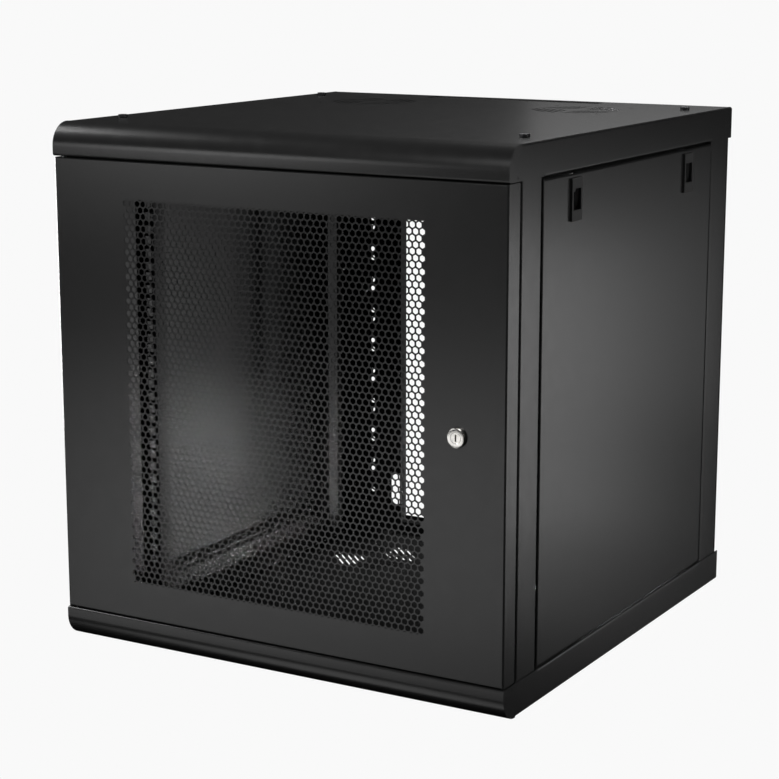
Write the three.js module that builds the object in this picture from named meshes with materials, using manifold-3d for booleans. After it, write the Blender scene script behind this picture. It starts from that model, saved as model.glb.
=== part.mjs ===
// A wall-mount 19-inch network cabinet, 12 rack units high: a folded top cover and bottom tray,
// two welded side frames, four rack rails, an open rear panel, two latched side panels and a
// perforated front door with a cam lock.
//
// Millimetres. +X is right, +Y is back, +Z is up. The origin is the centre of the underside.

import * as THREE from 'three';
import { mergeVertices } from 'three/addons/utils/BufferGeometryUtils.js';
import Module from 'manifold-3d';

// ---------------------------------------------------------------- driving dimensions

const FRAME_WIDTH = 600;          // over the corner posts and over the door
const FRONT = -315;               // outer face of the door
const REAR = 315;                 // rear edge of the cover and the tray
const HEIGHT = 633;
const SHEET = 1.2;                // cover, tray, door, panels
const FRAME_SHEET = 1.5;          // posts, beams, rear panel
const RAIL_SHEET = 2;             // rack rails
const FIT = 0.2;                  // room between painted parts that rest on each other
const CLEAR = 1;                  // how far a cutting tool reaches past the sheet it cuts

const HALF_WIDTH = FRAME_WIDTH / 2;
const SHELL_HALF_WIDTH = HALF_WIDTH + SHEET;   // the cover and the tray wrap over the posts

// Cover and tray, seen from the side
const SHELL_DEPTH = 39.2;         // from the flat plate to the edge of the flange
const NOSE_REACH = 1.6;           // how far the rounded nose stands ahead of the door
const NOSE_RADIUS = 28;
const EDGE_RADIUS = 3;
const NOSE_RETURN = 20;           // flange under the nose, behind its lower edge
const REAR_FLANGE = 22;
const SIDE_RETURN = 12;           // flange turned in along the side panel opening

// Corner posts, a C section open to the inside, with one flange folded back into a lip
const POST_WIDTH = 38;
const POST_LIP = { x: 26, depth: 36 };   // its face from the outside of the frame
const FRONT_POST_DEPTH = 48;
const REAR_POST_DEPTH = 55;
const FRONT_POST_FACE = FRONT + 30.8;
const REAR_POST_BACK = REAR - 8.3;
const FRONT_POST_BACK = FRONT_POST_FACE + FRONT_POST_DEPTH;
const REAR_POST_FACE = REAR_POST_BACK - REAR_POST_DEPTH;
const FRAME_BEND = 2.5;           // outer bend radius of posts, beams and rails

// Beams between the posts, a C section open to the inside
const BEAM_INSET = 14;            // from the outside of the frame
const BEAM_WIDTH = 30;            // of the flange that carries the rails
const BEAM_FOOT_WIDTH = 46;       // of the flange that lies on the tray
const BEAM_TOP = 45;
const BEAM_BOLT_X = 270;
const BEAM_BOLT_INSET = { front: 16.2, rear: 20.2 };   // from each post to the shell's bolt
const BEAM_SLOT_WIDTH = 7;
const BEAM_SLOT_COUNT = 3;
const BEAM_SLOT_GAP = 14;
const BEAM_SLOT_INSET = 12;

// 19-inch rack rails
const RACK_UNIT = 44.45;
const RACK_UNITS = 12;
const RACK_HOLE_HEIGHTS = [6.35, 22.225, 38.1];   // in one rack unit
const RACK_HOLE_X = 465.1 / 2;
const RACK_HOLE_SIZE = 9.5;
const RACK_OPENING = 450;
const RAIL_FACE_WIDTH = 25;
const RAIL_DEPTH = 24;
const RAIL_FOOT_REACH = 283;
const FRONT_RAIL_FACE = FRONT + 88;
const REAR_RAIL_FACE = FRONT + 487;

// Rear panel
const REAR_PANEL_FACE = REAR - 8;
const REAR_OPENING_HALF_WIDTH = 177;
const REAR_OPENING_MARGIN = 18;
const REAR_LIP = 17;
const CABLE_SLOT = { x: 192, z: 61, width: 20, height: 46 };
const WALL_HOLE = { x: 252, fromTop: 36, diameter: 10 };

// Fan grilles and cable entries in the cover and the tray
const GRILLE_X = 148.5;
const GRILLE_RADIUS = 58;
const GRILLE_FIRST_SLOT = 19;     // from the fan centre, along the diagonal
const GRILLE_SLOT_PITCH = 8;
const GRILLE_SLOT_WIDTH = 3.4;
const GRILLE_SLOT_COUNT = 5;
const GRILLE_SPOKE = 8;
const FAN_SCREW_SPACING = 105;
const FAN_SCREW_HOLE = 4.5;
const GRILLE_Y = FRONT + 485;
const CABLE_ENTRY = { width: 256, depth: 30, fromRear: 14, overlap: 5 };

// Side panels
const PANEL_FRONT = FRONT + 81.8;
const PANEL_REAR = REAR_POST_FACE - 1.2;
const PANEL_BOTTOM = 41;
const PANEL_TOP = 590;
const PANEL_RETURN = 11;
const PANEL_BEND = 2;
const LATCH_OFFSET = 161.8;       // from the middle of the panel
const LATCH = { width: 26, bottom: 537.5, top: 585, plate: 2.8, body: 9, lap: 2, wall: 1.2, skin: 0.6 };
const LATCH_WINDOW = { width: 19, bottom: 549.5, top: 573.5 };
const SHOE = { room: 0.4, front: 1, rim: 2, floor: 3, roof: 5, ledge: 11, ledgeHeight: 2.4, ledgeFront: 1.6 };
const TONGUE = { width: 17, thickness: 1.6, inset: 4.5, top: 589.2, root: 2 };
const TONGUE_NOTCH = { room: 1.5, inner: 7.5, outer: 1.8, height: 4 };   // in the panel's top return
const HOOK = { width: 22, drop: 6, inset: 4 };
const SLOT_ROOM = 2;              // past each end of a tongue or hook
const TONGUE_SLOT_WIDTH = 5;
const HOOK_SLOT_WIDTH = 8;

// Door
const DOOR_BOTTOM = 40.7;
const DOOR_TOP = 592.3;
const DOOR_DEPTH = 28;
const DOOR_LIP = 9;               // folded in at the back of the door's side walls
const DOOR_BEND = 1.8;
const FIELD = { width: 401, bottom: 83, top: 548 };
const FIELD_SHEET = 0.42;         // plain sheet as heavy as the 65 % open perforated one
const HINGE_X = -HALF_WIDTH + 8;
const HINGE_Y = FRONT + 8;
const HINGE_PIN_DIAMETER = 6;
const HINGE_PIN_ROOM = 0.4;
const PIN_HOLE = HINGE_PIN_DIAMETER + HINGE_PIN_ROOM * 2;
const HINGE_PIN_REACH = 3.5;      // into the nose flange
const LOWER_PIN_REACH = 8;        // into the door
const HINGE_COLLAR = { diameter: 10, height: 3, gap: 1, stud: 2 };
const HINGE_BRACKET = { drop: 34, thickness: 2, past: 10, behind: 9 };
const PIN_TIP = { length: 9, width: 3, drop: 8 };
const HINGE_BRACKET_BOTTOM = DOOR_TOP - HINGE_BRACKET.drop;
const SPRING = { radius: 4.4, wire: 1, turns: 5, stepsPerTurn: 10 };

// Cam lock
const LOCK_X = 241;
const LOCK_Z = HEIGHT / 2;
const LOCK = { face: 23, proud: 4, thread: 16, bore: 12.6, barrel: 12, bodyEnd: 31, recess: 0.4 };
const LOCK_NUT = { corners: 25, height: 4.5 };
const KEY_SLOT = { width: 2, height: 8, back: 8 };
const CAM = { length: 45, width: 15, thickness: 2, face: FRONT + 33.4, square: 7 };
const CAM_SCREW = { head: 11, height: 3.4 };

// Fasteners
const BOLT = { shank: 6, acrossFlats: 10.4, head: 4, length: 11, shortLength: 7 };
const BOLT_HOLE = 7;
const SEAT_RADIUS = 13;           // pressed seats that lift the tray's bolt heads off the ground
const SEAT_DEPTH = 5;

// Sides of round solids
const SMALL_SIDES = 8;
const SIDES = 12;
const SEAT_SIDES = 16;
const LOCK_SIDES = 20;
const NOSE_STEPS = 10;

const FULL_TURN = Math.PI * 2;

// ---------------------------------------------------------------- materials

function coat(color, roughness = 0.5) {
  return new THREE.MeshStandardMaterial({ color, roughness, metalness: 0.3 });
}

const PANEL_COAT = coat(0x3a3a3b, 0.48);
const FRAME_COAT = coat(0x333334, 0.52);
const RAIL_COAT = coat(0x2b2b2c, 0.5);
const FASTENER_BLACK = coat(0x1a1a1b, 0.45);
const LATCH_PLASTIC = new THREE.MeshStandardMaterial({ color: 0x232324, roughness: 0.6, metalness: 0 });
const NICKEL = new THREE.MeshStandardMaterial({ color: 0xc9c9c6, roughness: 0.22, metalness: 1 });
const ZINC = new THREE.MeshStandardMaterial({ color: 0x9fa2a4, roughness: 0.35, metalness: 1 });

// ---------------------------------------------------------------- solids

const wasm = await Module();
wasm.setup();

// A closed BufferGeometry as a solid that can be joined and cut.
function solid(geometry) {
  const bare = geometry.index ? geometry.toNonIndexed() : geometry.clone();
  bare.deleteAttribute('normal');
  bare.deleteAttribute('uv');
  const merged = mergeVertices(bare, 1e-4);
  return new wasm.Manifold(new wasm.Mesh({
    numProp: 3,
    vertProperties: merged.attributes.position.array,
    triVerts: new Uint32Array(merged.index.array),
  }));
}

function join(first, ...others) {
  return others.reduce((whole, piece) => whole.add(piece), first);
}

function cut(first, ...others) {
  return others.reduce((whole, piece) => whole.subtract(piece), first);
}

function toGeometry(manifold) {
  const { vertProperties, triVerts } = manifold.getMesh();
  const geometry = new THREE.BufferGeometry();
  geometry.setAttribute('position', new THREE.BufferAttribute(vertProperties, 3));
  geometry.setIndex(new THREE.BufferAttribute(triVerts, 1));
  geometry.computeVertexNormals();
  return geometry;
}

// The geometry reflected along one axis, with its faces turned back to point out.
function reflected(geometry, axis) {
  const scale = new THREE.Vector3(1, 1, 1);
  scale[axis] = -1;
  const copy = geometry.clone().scale(scale.x, scale.y, scale.z);
  const corners = copy.index.array;
  for (let i = 0; i < corners.length; i += 3) {
    [corners[i], corners[i + 1]] = [corners[i + 1], corners[i]];
  }
  copy.computeVertexNormals();
  return copy;
}

function block(x, y, z) {
  const geometry = new THREE.BoxGeometry(x[1] - x[0], y[1] - y[0], z[1] - z[0]);
  geometry.translate((x[0] + x[1]) / 2, (y[0] + y[1]) / 2, (z[0] + z[1]) / 2);
  return solid(geometry);
}

const X_AXIS = new THREE.Vector3(1, 0, 0);
const Y_AXIS = new THREE.Vector3(0, 1, 0);
const Z_AXIS = new THREE.Vector3(0, 0, 1);

// An outline extruded along an axis between two places on it. The outline's points are
// (y, z) for an extrusion along x, (x, z) along y and (x, y) along z.
function extruded(outline, axis, from, to) {
  const shape = new THREE.Shape(outline);
  const geometry = new THREE.ExtrudeGeometry(shape, { depth: to - from, bevelEnabled: false });
  if (axis === 'x') {
    geometry.applyMatrix4(new THREE.Matrix4().makeBasis(Y_AXIS, Z_AXIS, X_AXIS));
    geometry.translate(from, 0, 0);
  } else if (axis === 'y') {
    geometry.applyMatrix4(new THREE.Matrix4().makeBasis(X_AXIS, Z_AXIS, Y_AXIS.clone().negate()));
    geometry.translate(0, to, 0);
  } else {
    geometry.translate(0, 0, from);
  }
  return solid(geometry);
}

// A round bar along an axis, centred on the other two coordinates.
function bar(diameter, axis, center, from, to, sides = SIDES) {
  const geometry = new THREE.CylinderGeometry(diameter / 2, diameter / 2, to - from, sides);
  if (axis === 'x') geometry.rotateZ(Math.PI / 2);
  if (axis === 'z') geometry.rotateX(Math.PI / 2);
  const middle = (from + to) / 2;
  if (axis === 'x') geometry.translate(middle, center[0], center[1]);
  if (axis === 'y') geometry.translate(center[0], middle, center[1]);
  if (axis === 'z') geometry.translate(center[0], center[1], middle);
  return solid(geometry);
}

// A line of points with each inner corner replaced by an arc. A corner may carry its own
// radius and step count.
function rounded(corners, radius, steps = 3) {
  const points = [];
  corners.forEach((corner, i) => {
    const point = new THREE.Vector2(corner[0], corner[1]);
    const bend = corner[2] ?? radius;
    const bendSteps = corner[3] ?? steps;
    if (i === 0 || i === corners.length - 1 || bend === 0) {
      points.push(point);
      return;
    }
    const toPrevious = new THREE.Vector2(...corners[i - 1]).sub(point).normalize();
    const toNext = new THREE.Vector2(...corners[i + 1]).sub(point).normalize();
    const halfAngle = Math.acos(toPrevious.dot(toNext)) / 2;
    const reach = bend / Math.tan(halfAngle);
    const center = toPrevious.clone().add(toNext).normalize()
      .multiplyScalar(bend / Math.sin(halfAngle)).add(point);
    const start = toPrevious.multiplyScalar(reach).add(point).sub(center);
    const end = toNext.multiplyScalar(reach).add(point).sub(center);
    let sweep = Math.atan2(end.y, end.x) - Math.atan2(start.y, start.x);
    if (sweep > Math.PI) sweep -= FULL_TURN;
    if (sweep < -Math.PI) sweep += FULL_TURN;
    for (let k = 0; k <= bendSteps; k += 1) {
      points.push(start.clone().rotateAround(new THREE.Vector2(), (sweep * k) / bendSteps).add(center));
    }
  });
  return points;
}

// The section of a folded sheet. The corners follow its outer face, and the sheet's thickness
// lies on the right of the line's direction when `side` is 1 and on the left when it is -1.
function foldedSheet(corners, thickness, radius, side = 1) {
  const outer = rounded(corners, radius);
  const inner = outer.map((point, i) => {
    const before = outer[Math.max(i - 1, 0)];
    const after = outer[Math.min(i + 1, outer.length - 1)];
    const along = point.clone().sub(before).normalize();
    const ahead = after.clone().sub(point).normalize();
    if (i === 0) along.copy(ahead);
    if (i === outer.length - 1) ahead.copy(along);
    const middle = along.add(ahead).normalize();
    const stretch = 1 / Math.max(middle.dot(ahead), 0.5);
    return new THREE.Vector2(middle.y, -middle.x).multiplyScalar(side * thickness * stretch).add(point);
  });
  return [...outer, ...inner.reverse()];
}

const parts = new THREE.Group();

function addPart(name, geometry, material, position = [0, 0, 0]) {
  const mesh = new THREE.Mesh(geometry, material);
  mesh.name = name;
  mesh.position.set(...position);
  parts.add(mesh);
}

// ---------------------------------------------------------------- cover and tray

// The slots of one fan grille as cutting blocks: in each quadrant, parallel slots across the
// diagonal, trimmed by the fan's circle and by a cross of two spokes.
function grilleCutters(centerX) {
  const cutters = [];
  for (let quadrant = 0; quadrant < 4; quadrant += 1) {
    const direction = Math.PI / 4 + (quadrant * Math.PI) / 2;
    for (let i = 0; i < GRILLE_SLOT_COUNT; i += 1) {
      const distance = GRILLE_FIRST_SLOT + i * GRILLE_SLOT_PITCH;
      const toCircle = Math.sqrt(GRILLE_RADIUS ** 2 - (distance + GRILLE_SLOT_WIDTH / 2) ** 2);
      const toSpoke = distance - GRILLE_SLOT_WIDTH / 2 - GRILLE_SPOKE / Math.SQRT2;
      const halfLength = Math.min(toCircle, toSpoke);
      const slot = new THREE.BoxGeometry(GRILLE_SLOT_WIDTH, halfLength * 2, SHEET * 4);
      slot.translate(distance, 0, 0);
      slot.rotateZ(direction);
      slot.translate(centerX, GRILLE_Y, 0);
      cutters.push(solid(slot));
    }
  }
  const reach = FAN_SCREW_SPACING / 2;
  for (const x of [-reach, reach]) {
    for (const y of [-reach, reach]) {
      const place = [centerX + x, GRILLE_Y + y];
      cutters.push(bar(FAN_SCREW_HOLE, 'z', place, -CLEAR, SHEET + CLEAR, SMALL_SIDES));
    }
  }
  return cutters;
}

// The places of the bolts that hold a shell to the side frames.
function boltPlaces() {
  const front = FRONT_POST_BACK + BEAM_BOLT_INSET.front;
  const rear = REAR_POST_FACE - BEAM_BOLT_INSET.rear;
  return [
    ['front_left', -BEAM_BOLT_X, front],
    ['front_right', BEAM_BOLT_X, front],
    ['rear_left', -BEAM_BOLT_X, rear],
    ['rear_right', BEAM_BOLT_X, rear],
  ];
}

// The middle of each side panel latch and hook, along the cabinet.
function latchPlaces() {
  const middle = (PANEL_FRONT + PANEL_REAR) / 2;
  return { front: middle - LATCH_OFFSET, rear: middle + LATCH_OFFSET };
}

// A folded shell with its plate at z = 0 and its flanges standing up: the tray as it stands,
// and the cover upside down.
function foldedShell() {
  const noseFront = FRONT - NOSE_REACH;
  const plate = foldedSheet([
    [noseFront + NOSE_RETURN, SHELL_DEPTH],
    [noseFront, SHELL_DEPTH],
    [noseFront, 0, NOSE_RADIUS, NOSE_STEPS],
    [REAR, 0],
    [REAR, REAR_FLANGE],
  ], SHEET, EDGE_RADIUS, -1);
  let shell = extruded(plate, 'x', -SHELL_HALF_WIDTH, SHELL_HALF_WIDTH);

  const flange = rounded([
    [REAR, SHELL_DEPTH],
    [noseFront, SHELL_DEPTH],
    [noseFront, 0, NOSE_RADIUS, NOSE_STEPS],
    [REAR, 0],
  ], EDGE_RADIUS);
  for (const side of [-1, 1]) {
    const inner = side * HALF_WIDTH;
    const outer = side * SHELL_HALF_WIDTH;
    const wall = extruded(flange, 'x', Math.min(inner, outer), Math.max(inner, outer));
    const turned = block(
      side > 0 ? [outer - SIDE_RETURN, outer] : [outer, outer + SIDE_RETURN],
      [PANEL_FRONT, PANEL_REAR],
      [SHELL_DEPTH - SHEET, SHELL_DEPTH],
    );
    shell = join(shell, wall, turned);
  }

  const cutters = [];
  for (const [, x, y] of boltPlaces()) cutters.push(bar(BOLT_HOLE, 'z', [x, y], -CLEAR, SHEET + CLEAR));
  for (const x of [-GRILLE_X, GRILLE_X]) cutters.push(...grilleCutters(x));
  cutters.push(block(
    [-CABLE_ENTRY.width / 2, CABLE_ENTRY.width / 2],
    [REAR - CABLE_ENTRY.fromRear - CABLE_ENTRY.depth, REAR - CABLE_ENTRY.fromRear],
    [-CLEAR, SHEET + CLEAR],
  ));
  cutters.push(bar(PIN_HOLE, 'z', [HINGE_X, HINGE_Y], SHELL_DEPTH - SHEET - CLEAR, SHELL_DEPTH + CLEAR));
  return cut(shell, ...cutters);
}

// Slots in a shell's turned-in side flange, one over each latch tongue or panel hook.
function flangeSlots(halfLength, inset, width) {
  const slots = [];
  for (const side of [-1, 1]) {
    for (const y of Object.values(latchPlaces())) {
      const middle = side * (HALF_WIDTH - inset);
      slots.push(block(
        [middle - width / 2, middle + width / 2],
        [y - halfLength, y + halfLength],
        [SHELL_DEPTH - SHEET - CLEAR, SHELL_DEPTH + CLEAR],
      ));
    }
  }
  return slots;
}

function topCover() {
  const inset = TONGUE.inset + TONGUE.thickness / 2;
  const slots = flangeSlots(TONGUE.width / 2 + SLOT_ROOM, inset, TONGUE_SLOT_WIDTH);
  return reflected(toGeometry(cut(foldedShell(), ...slots)), 'z');
}

// The tray's bolt seats are pressed up, so its bolt heads stay above the ground.
function bottomTray() {
  const slots = flangeSlots(HOOK.width / 2 + SLOT_ROOM, HOOK.inset + SHEET / 2, HOOK_SLOT_WIDTH);
  let tray = cut(foldedShell(), ...slots);
  for (const [, x, y] of boltPlaces()) {
    const raised = bar((SEAT_RADIUS + SHEET) * 2, 'z', [x, y], 0, SEAT_DEPTH + SHEET, SEAT_SIDES);
    const hollow = bar(SEAT_RADIUS * 2, 'z', [x, y], -CLEAR, SEAT_DEPTH, SEAT_SIDES);
    const hole = bar(BOLT_HOLE, 'z', [x, y], -CLEAR, SEAT_DEPTH + SHEET + CLEAR);
    tray = cut(join(tray, raised), hollow, hole);
  }
  return toGeometry(tray);
}

// A plate that closes the cable entry from inside the cabinet.
function cableCover() {
  const reach = CABLE_ENTRY.overlap;
  const middle = REAR - CABLE_ENTRY.fromRear - CABLE_ENTRY.depth / 2;
  const half = CABLE_ENTRY.depth / 2 + reach;
  return toGeometry(block(
    [-CABLE_ENTRY.width / 2 - reach, CABLE_ENTRY.width / 2 + reach],
    [middle - half, middle + half],
    [0, SHEET],
  ));
}

// ---------------------------------------------------------------- side frames

// The rear right post, standing on the tray. Its front flange ends in a lip that covers the
// section's inside; the front posts are the same section turned round.
function post(depth) {
  const section = foldedSheet([
    [-POST_LIP.x, POST_LIP.depth],
    [-POST_LIP.x, 0],
    [0, 0],
    [0, depth],
    [-POST_WIDTH, depth],
  ], FRAME_SHEET, FRAME_BEND, -1);
  const bottom = SHEET + FIT;
  return toGeometry(extruded(section, 'z', bottom, HEIGHT - bottom));
}

// The lower right beam. Its top flange carries the rails and is slotted for their bolts, and
// its bottom flange takes the bolts of the tray. The bolt seats pressed into the tray need an
// opening in that flange, so a beam's bottom starts above them.
function beam(bottom) {
  const from = FRONT_POST_BACK + FIT;
  const to = REAR_POST_FACE - FIT;
  const outer = HALF_WIDTH - BEAM_INSET;
  const section = foldedSheet([
    [outer - BEAM_WIDTH, BEAM_TOP],
    [outer, BEAM_TOP],
    [outer, bottom],
    [outer - BEAM_FOOT_WIDTH, bottom],
  ], FRAME_SHEET, FRAME_BEND, 1);
  const cutters = [];
  const slotStart = from + BEAM_SLOT_INSET;
  const slotEnd = to - BEAM_SLOT_INSET;
  const slotLength = (slotEnd - slotStart - BEAM_SLOT_GAP * (BEAM_SLOT_COUNT - 1)) / BEAM_SLOT_COUNT;
  for (let i = 0; i < BEAM_SLOT_COUNT; i += 1) {
    const start = slotStart + i * (slotLength + BEAM_SLOT_GAP);
    cutters.push(block(
      [BEAM_BOLT_X - BEAM_SLOT_WIDTH / 2, BEAM_BOLT_X + BEAM_SLOT_WIDTH / 2],
      [start, start + slotLength],
      [BEAM_TOP - FRAME_SHEET - CLEAR, BEAM_TOP + CLEAR],
    ));
  }
  for (const [, x, y] of boltPlaces()) {
    if (x > 0) cutters.push(bar(BOLT_HOLE, 'z', [x, y], bottom - CLEAR, bottom + FRAME_SHEET + CLEAR));
  }
  return toGeometry(cut(extruded(section, 'y', from, to), ...cutters));
}

// ---------------------------------------------------------------- rack rails

// A right rail: a face with the square holes, a web that reaches back from the equipment
// opening and a foot at each end, bolted to the beams. Its face lies at y = 0.
function rackRail() {
  const bottom = BEAM_TOP + FIT;
  const top = HEIGHT - BEAM_TOP - FIT;
  const web = RACK_OPENING / 2;
  const section = foldedSheet([
    [web, RAIL_DEPTH],
    [web, 0],
    [web + RAIL_FACE_WIDTH, 0],
  ], RAIL_SHEET, FRAME_BEND, -1);
  let rail = extruded(section, 'z', bottom, top);
  for (const z of [bottom, top - RAIL_SHEET]) {
    rail = join(rail, block([web, RAIL_FOOT_REACH], [RAIL_SHEET / 2, RAIL_DEPTH], [z, z + RAIL_SHEET]));
  }
  const cutters = [];
  const firstUnit = (HEIGHT - RACK_UNITS * RACK_UNIT) / 2;
  const half = RACK_HOLE_SIZE / 2;
  for (let unit = 0; unit < RACK_UNITS; unit += 1) {
    for (const height of RACK_HOLE_HEIGHTS) {
      const z = firstUnit + unit * RACK_UNIT + height;
      cutters.push(block(
        [RACK_HOLE_X - half, RACK_HOLE_X + half],
        [-CLEAR, RAIL_SHEET + CLEAR],
        [z - half, z + half],
      ));
    }
  }
  cutters.push(bar(BOLT_HOLE, 'z', [BEAM_BOLT_X, RAIL_DEPTH / 2], 0, HEIGHT));
  return toGeometry(cut(rail, ...cutters));
}

// ---------------------------------------------------------------- rear panel

// A plate across the back with one large opening, whose four lips are folded forward.
function rearPanel() {
  const bottom = SHEET + FIT;
  const top = HEIGHT - bottom;
  const back = REAR_PANEL_FACE + FRAME_SHEET;
  const side = HALF_WIDTH - FIT;
  const opening = {
    x: REAR_OPENING_HALF_WIDTH,
    bottom: REAR_OPENING_MARGIN,
    top: HEIGHT - REAR_OPENING_MARGIN,
  };
  const lipFront = REAR_PANEL_FACE - REAR_LIP;
  const plate = block([-side, side], [REAR_PANEL_FACE, back], [bottom, top]);
  const lips = block(
    [-opening.x - FRAME_SHEET, opening.x + FRAME_SHEET],
    [lipFront, back],
    [opening.bottom - FRAME_SHEET, opening.top + FRAME_SHEET],
  );
  const cutters = [block(
    [-opening.x, opening.x],
    [lipFront - CLEAR, back + CLEAR],
    [opening.bottom, opening.top],
  )];

  const throughPlate = [REAR_PANEL_FACE - CLEAR, back + CLEAR];
  for (const sign of [-1, 1]) {
    const wallHole = [sign * WALL_HOLE.x, HEIGHT - WALL_HOLE.fromTop];
    cutters.push(bar(WALL_HOLE.diameter, 'y', wallHole, ...throughPlate));
    for (const z of [CABLE_SLOT.z, HEIGHT - CABLE_SLOT.z]) {
      const x = sign * CABLE_SLOT.x;
      const straight = (CABLE_SLOT.height - CABLE_SLOT.width) / 2;
      cutters.push(block(
        [x - CABLE_SLOT.width / 2, x + CABLE_SLOT.width / 2],
        throughPlate,
        [z - straight, z + straight],
      ));
      for (const end of [z - straight, z + straight]) {
        cutters.push(bar(CABLE_SLOT.width, 'y', [x, end], ...throughPlate));
      }
    }
  }
  return toGeometry(cut(join(plate, lips), ...cutters));
}

// ---------------------------------------------------------------- side panels

// The right panel: a shallow pan with openings for two latches, notches for their tongues and
// two hooks that drop into the tray. Its outer face lies at x = 0.
function sidePanel() {
  const across = extruded(rounded([
    [-PANEL_RETURN, PANEL_FRONT],
    [0, PANEL_FRONT],
    [0, PANEL_REAR],
    [-PANEL_RETURN, PANEL_REAR],
  ], PANEL_BEND), 'z', PANEL_BOTTOM, PANEL_TOP);
  const upright = extruded(rounded([
    [-PANEL_RETURN, PANEL_BOTTOM],
    [0, PANEL_BOTTOM],
    [0, PANEL_TOP],
    [-PANEL_RETURN, PANEL_TOP],
  ], PANEL_BEND), 'y', PANEL_FRONT, PANEL_REAR);
  const hollow = block(
    [-PANEL_RETURN - CLEAR, -SHEET],
    [PANEL_FRONT + SHEET, PANEL_REAR - SHEET],
    [PANEL_BOTTOM + SHEET, PANEL_TOP - SHEET],
  );
  let panel = cut(across.intersect(upright), hollow);

  const openingHalf = LATCH.width / 2 - LATCH.lap;
  const notchHalf = TONGUE.width / 2 + TONGUE_NOTCH.room;
  const hookHalf = HOOK.width / 2;
  for (const y of Object.values(latchPlaces())) {
    const opening = block(
      [-PANEL_RETURN, CLEAR],
      [y - openingHalf, y + openingHalf],
      [LATCH.bottom + LATCH.lap, LATCH.top - LATCH.lap],
    );
    const notch = block(
      [-TONGUE_NOTCH.inner, -TONGUE_NOTCH.outer],
      [y - notchHalf, y + notchHalf],
      [PANEL_TOP - TONGUE_NOTCH.height, PANEL_TOP + CLEAR],
    );
    const hook = block(
      [-HOOK.inset - SHEET, -HOOK.inset],
      [y - hookHalf, y + hookHalf],
      [PANEL_BOTTOM - HOOK.drop, PANEL_BOTTOM + SHEET],
    );
    panel = join(cut(panel, opening, notch), hook);
  }
  return toGeometry(panel);
}

// The moulded frame of a latch: a face plate outside the panel and a box through it, open
// inwards, with a finger window. Its middle lies at y = 0 and the panel's face at x = 0.
function latchHousing() {
  const half = LATCH.width / 2;
  const edge = LATCH.lap + FIT;
  const bodyHalf = half - edge;
  const plate = block([FIT, LATCH.plate], [-half, half], [LATCH.bottom, LATCH.top]);
  const body = block(
    [-LATCH.body, LATCH.plate / 2],
    [-bodyHalf, bodyHalf],
    [LATCH.bottom + edge, LATCH.top - edge],
  );
  const windowHalf = LATCH_WINDOW.width / 2;
  const insideHalf = bodyHalf - LATCH.wall;
  return toGeometry(cut(
    join(plate, body),
    block(
      [-LATCH.body - CLEAR, LATCH.plate + CLEAR],
      [-windowHalf, windowHalf],
      [LATCH_WINDOW.bottom, LATCH_WINDOW.top],
    ),
    block(
      [-LATCH.body - CLEAR, -LATCH.skin],
      [-insideHalf, insideHalf],
      [LATCH.bottom + edge + LATCH.wall, LATCH.top + CLEAR],
    ),
  ));
}

// The sliding part of a latch: a shoe with a finger recess behind the window, and the tongue
// that rises into the cover's slot. The finger pushes against the shoe's ledge.
function latchSlider() {
  const half = LATCH.width / 2 - LATCH.lap - LATCH.wall - FIT * 2;
  const recessHalf = LATCH_WINDOW.width / 2 - SHOE.rim;
  const bottom = LATCH.bottom + LATCH.lap + LATCH.wall + FIT + SHOE.room;
  const shoe = block(
    [-LATCH.body + SHOE.room, -SHOE.front],
    [-half, half],
    [bottom, LATCH_WINDOW.top + CLEAR],
  );
  const recess = block(
    [-LATCH.body + SHOE.rim, 0],
    [-recessHalf, recessHalf],
    [LATCH_WINDOW.bottom + SHOE.floor, LATCH_WINDOW.top - SHOE.roof],
  );
  const ledgeBottom = LATCH_WINDOW.bottom + SHOE.ledge;
  const ledge = block(
    [-LATCH.body + SHOE.rim / 2, -SHOE.ledgeFront],
    [-recessHalf, recessHalf],
    [ledgeBottom, ledgeBottom + SHOE.ledgeHeight],
  );
  const tongue = block(
    [-TONGUE.inset - TONGUE.thickness, -TONGUE.inset],
    [-TONGUE.width / 2, TONGUE.width / 2],
    [LATCH_WINDOW.top - TONGUE.root, TONGUE.top],
  );
  return toGeometry(join(cut(shoe, recess), ledge, tongue));
}

// ---------------------------------------------------------------- door

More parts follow.
